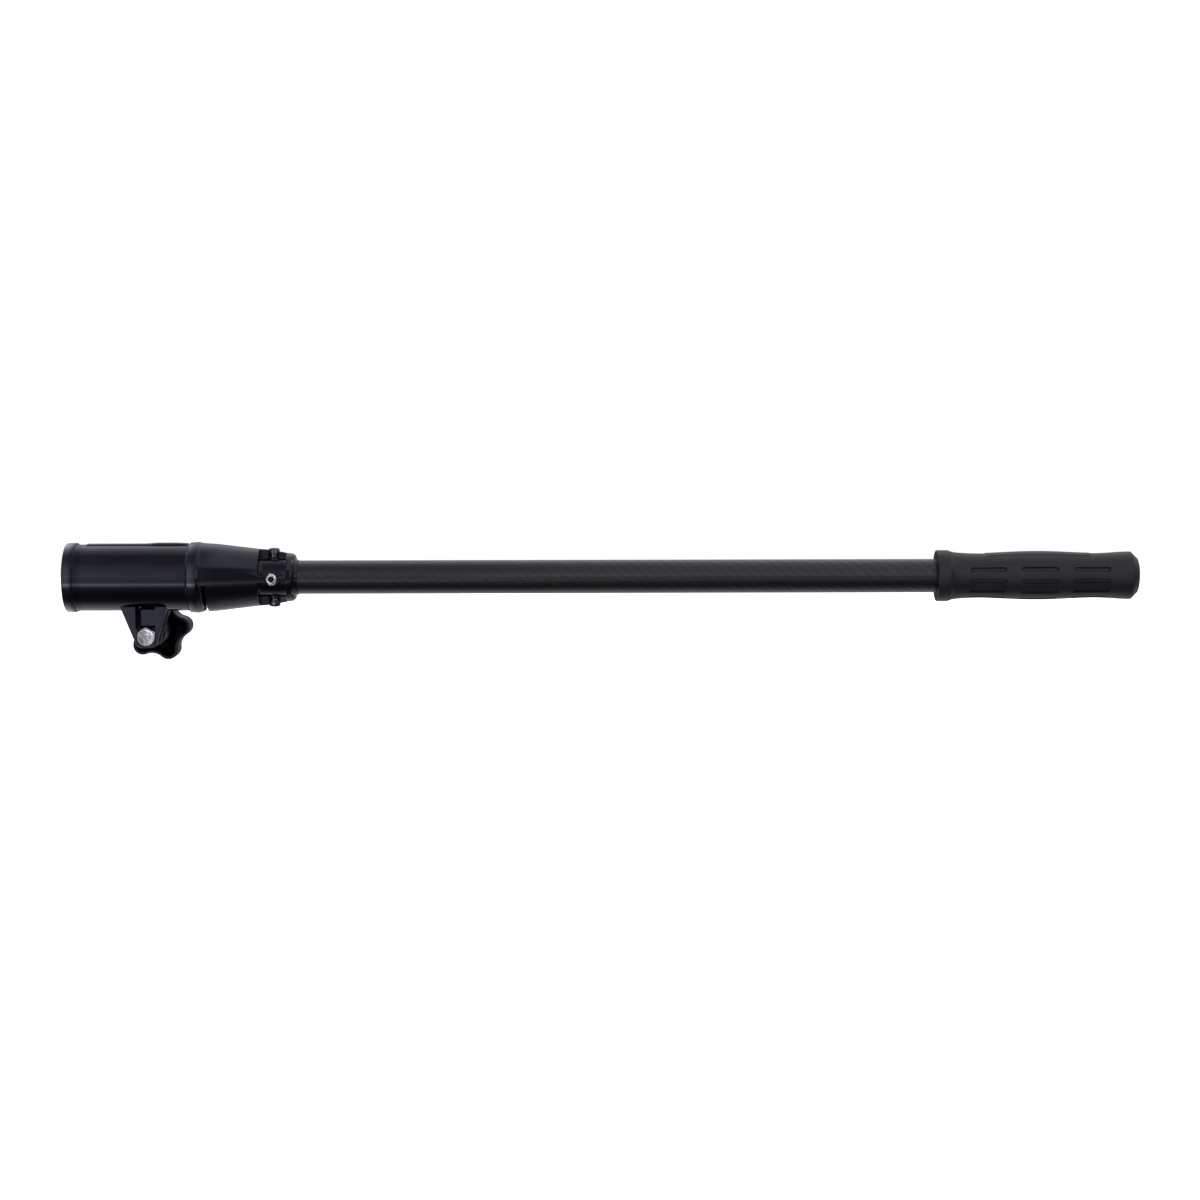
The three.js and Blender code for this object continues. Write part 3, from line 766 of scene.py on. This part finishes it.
def build_grip():
    """A moulded grip: flange, two waists and a bell end, slots sunk in and a panel raised."""
    fine = []
    for x0, x1 in SLOT_SPANS:
        fine += list(np.arange(x0 - 0.5, x0 + 2.2, 0.3)) + list(np.arange(x1 - 1.9, x1 + 0.8, 0.3))
    fine += [x + d for x in PANEL["x"] for d in (-0.6, -0.3, 0.0, 0.3, 0.6)]
    coarse = [x for x in np.arange(662, 792.6, 2.4) if min(abs(x - f) for f in fine) > 0.6]
    middle = np.array(sorted([GRIP_LINE[0][0], *fine, *coarse, 792.6]))
    front = rounded([(GRIP_X0, 14.4, 0), (GRIP_X0, 19.1, 0.8), (658.2, 19.1, 0.9),
                     (661.0, 17.9, 1.2), (661.2, 17.85, 0)])
    back = rounded([(792.7, 17.82, 0), (794.6, 17.85, 0.9), (799.6, 12.9, 0.7),
                    (GRIP_X1, 10.0, 0.5), (GRIP_X1, 4.0, 0)])
    degrees_per_mm = 360 / 2 / math.pi / 17
    edge = [(mm * degrees_per_mm, 0) for mm in (0.0, 0.8, 1.3, 1.45, 1.55, 1.65, 1.75, 2.1)]
    panel_edge = [(0, 0)] + [(PANEL["half"] + d, 0) for d in (-1.2, -0.6, 0.0, 0.6, 1.2)]
    angles = clustered_angles(4.0, [(c, edge) for c in SLOT_ANGLES] + [(PANEL["at"], panel_edge)])
    a = np.radians(angles)
    rings = [ring_at(x, r, a) for x, r in front[:-1]]
    for x in middle:
        body = np.interp(x, GRIP_LINE[:, 0], GRIP_LINE[:, 1])
        radius = np.full(len(angles), body)
        for centre in SLOT_ANGLES:
            off = np.radians((angles - centre + 180) % 360 - 180) * body
            for x0, x1 in SLOT_SPANS:
                along = max(x0 + SLOT_HALF - x, 0, x - (x1 - SLOT_HALF))
                depth = (SLOT_HALF + 0.15 - np.hypot(along, off)) / 0.3
                radius -= SLOT_DEPTH * ease(depth)
        away = np.abs((angles - PANEL["at"] + 180) % 360 - 180)
        lift = ease((PANEL["half"] + 0.9 - away) / 1.8)
        lift = lift * ease(min(x - PANEL["x"][0] + 0.5, PANEL["x"][1] + 0.5 - x))
        radius += PANEL["lift"] * lift
        rings.append(ring_at(x, radius, a))
    rings += [ring_at(x, r, a) for x, r in back]
    rings += [ring_at(GRIP_X1, 1.0, a)]
    grip = loft("rubber_grip", rings, end=(GRIP_X1, 0, 0))
    bore_r = TUBE_R + 0.3
    core = turned_x("cutter", [(GRIP_X0 - 2, bore_r), (796.3, bore_r)], 96)
    return combine(grip, core, "DIFFERENCE")


finish_piece(build_grip(), "handle", GRIP, "grip_rubber", "grip", sharp=50)

# ------------------------------------------------------------------ hidden pieces, in CAD shape
for node, material in (("knob_nut", BRASS), ("tube_insert", ALUMINIUM), ("tube_end_plug", PLUG)):
    for material_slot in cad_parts[node].material_slots:
        material_slot.material = material

# ------------------------------------------------------------------ camera
CAMERA_ELEVATION = 5.3
CAMERA_DISTANCE = 1.875
AIM = Vector((0.3981, 0.0, -0.01768))
ROLL = math.radians(-0.137)

elevation = math.radians(CAMERA_ELEVATION)
towards = Vector((0, math.cos(elevation), -math.sin(elevation)))
camera_data = bpy.data.cameras.new("camera")
camera_data.lens = 75.1
camera_data.sensor_width = 36.0
camera_data.clip_end = 50.0
camera = bpy.data.objects.new("camera", camera_data)
camera.location = AIM - towards * CAMERA_DISTANCE
facing = towards.to_track_quat("-Z", "Y").to_matrix().to_4x4()
camera.rotation_euler = (facing @ Matrix.Rotation(ROLL, 4, "Z")).to_euler()
bpy.context.scene.collection.objects.link(camera)
bpy.context.scene.camera = camera

# ------------------------------------------------------------------ floor and light
LAMP_TINT = (0.97, 0.985, 1.06)


def four_corners(name, corners, material):
    """An object with one face."""
    mesh = bpy.data.meshes.new(name)
    mesh.from_pydata(corners, [], [(0, 1, 2, 3)])
    mesh.materials.append(material)
    obj = bpy.data.objects.new(name, mesh)
    bpy.context.scene.collection.objects.link(obj)
    return obj


# The floor glows white by itself, and neither lights the object nor shows in its reflections.
PALE_FLOOR = Nodes("pale_floor").set(
    Base_Color=grey(0.9), Roughness=0.9, Emission_Color=grey(1.0), Emission_Strength=1.0)
floor = four_corners(
    "floor", [(-6, -6, -0.5), (7, -6, -0.5), (7, 6, -0.5), (-6, 6, -0.5)], PALE_FLOOR)
floor.visible_glossy = False
floor.visible_diffuse = False

# A long soft light in front of the tube and the grip, out of the camera's sight.
PANEL_LIGHT = Nodes("panel_light").set(
    Base_Color=grey(0.0), Roughness=1.0, Specular_IOR_Level=0.0,
    Emission_Color=grey(1.0, LAMP_TINT), Emission_Strength=0.85)
panel = four_corners(
    "panel", [(0.27, -0.6, 0.0), (1.1, -0.6, 0.04), (1.1, -0.44, 0.42), (0.27, -0.5, 0.3)],
    PANEL_LIGHT)
panel.visible_camera = False

# Brightness of the studio by direction: first by angle about the handle, where 0 is towards the
# viewer and 90 is up, on the mouth's side and on the grip's side, then a factor by how far along X.
# This is not a plain light. The values were worked back from how bright the reference photo is
# across the barrel, the cone, the tube, the grip and the screws, and then tuned against it.
STUDIO_MOUTH = (
    (-180, 0.06), (-173, 0.06), (-164, 0.4), (-145, 0.74), (-124, 0.68), (-108, 0.52), (-87, 0.08),
    (-62, 0.03), (-42, 0.09), (-33, 0.12), (-26, 0.5), (-19, 1.8), (-13, 0.32), (-5, 0.44),
    (3, 0.50), (10, 0.58), (17, 0.5), (25, 0.45), (32, 0.42), (40, 0.37), (48, 0.27), (58, 0.18),
    (81, 0.15), (91, 0.26), (113, 0.60), (126, 0.90), (143, 0.92), (154, 0.7), (164, 0.34),
    (173, 0.06), (180, 0.06))
STUDIO_GRIP = (
    (-180, 0.25), (-165, 0.4), (-145, 0.74), (-120, 0.72), (-105, 0.60), (-90, 0.38), (-74, 0.12),
    (-60, 0.06), (-34, 0.06), (-24, 0.16), (-18, 0.62), (-12, 0.58), (-7, 0.14), (28, 0.12),
    (36, 0.16), (43, 0.80), (70, 0.78), (90, 0.80), (110, 0.88), (125, 1.05), (145, 1.0),
    (156, 0.7), (166, 0.34), (180, 0.25))
STUDIO_ALONG = ((-1.0, 0.8), (-0.94, 0.8), (-0.88, 0.6), (-0.52, 0.6), (-0.42, 2.0), (-0.36, 2.6),
                (-0.27, 2.6), (-0.225, 1.8), (-0.205, 1.0), (0.28, 1.0), (0.36, 0.5), (0.56, 0.5),
                (0.6, 1.8), (0.66, 1.8), (0.72, 0.6), (1.0, 0.5))
STUDIO_PEAK = 2.0
ALONG_PEAK = 6.0


def build_world():
    world = bpy.data.worlds.new("studio")
    bpy.context.scene.world = world
    world.use_nodes = True
    tree = world.node_tree
    link = tree.links.new

    def make(kind, *inputs, out=0, **settings):
        node = tree.nodes.new(kind)
        for key, value in settings.items():
            setattr(node, key, value)
        for socket, value in zip(node.inputs, inputs):
            if isinstance(value, bpy.types.NodeSocket):
                link(value, socket)
            elif value is not None:
                socket.default_value = value
        return node.outputs[out]

    def ramp(coordinate, stops_at, low, high, peak):
        share = make("ShaderNodeMapRange", coordinate, float(low), float(high), 0.0, 1.0)
        band = tree.nodes.new("ShaderNodeValToRGB")
        link(share, band.inputs[0])
        stops = band.color_ramp.elements
        while len(stops) < len(stops_at):
            stops.new(0.5)
        for stop, (at, light) in zip(stops, stops_at):
            stop.position = (at - low) / (high - low)
            stop.color = grey(light / peak)
        return band.outputs[0]

    separate = tree.nodes.new("ShaderNodeSeparateXYZ")
    link(make("ShaderNodeTexCoord", out=0), separate.inputs[0])
    x, y, z = separate.outputs
    towards_viewer = make("ShaderNodeMath", y, -1.0, operation="MULTIPLY")
    around = make("ShaderNodeMath", z, towards_viewer, operation="ARCTAN2")
    degrees = make("ShaderNodeMath", around, 180 / math.pi, operation="MULTIPLY")
    light = ramp(degrees, STUDIO_MOUTH, -180, 180, STUDIO_PEAK)
    share = make("ShaderNodeMapRange", x, -0.09, 0.0, 0.0, 1.0, interpolation_type="SMOOTHSTEP")
    blend = tree.nodes.new("ShaderNodeMix")
    blend.data_type = "RGBA"
    grip_light = ramp(degrees, STUDIO_GRIP, -180, 180, STUDIO_PEAK)
    for key, value in ((0, share), (6, light), (7, grip_light)):
        link(value, blend.inputs[key])
    along = ramp(x, STUDIO_ALONG, -1, 1, ALONG_PEAK)
    light = make("ShaderNodeVectorMath", blend.outputs[2], along, operation="MULTIPLY")
    light = make("ShaderNodeVectorMath", light, LAMP_TINT, operation="MULTIPLY")
    studio, backdrop = tree.nodes["Background"], tree.nodes.new("ShaderNodeBackground")
    studio.inputs["Strength"].default_value = STUDIO_PEAK * ALONG_PEAK
    link(light, studio.inputs["Color"])
    backdrop.inputs["Color"].default_value = grey(1.0)
    backdrop.inputs["Strength"].default_value = 1.0
    mix = tree.nodes.new("ShaderNodeMixShader")
    link(make("ShaderNodeLightPath", out=0), mix.inputs[0])
    link(studio.outputs[0], mix.inputs[1])
    link(backdrop.outputs[0], mix.inputs[2])
    link(mix.outputs[0], tree.nodes["World Output"].inputs["Surface"])


build_world()
bpy.context.scene.view_settings.view_transform = "Standard"
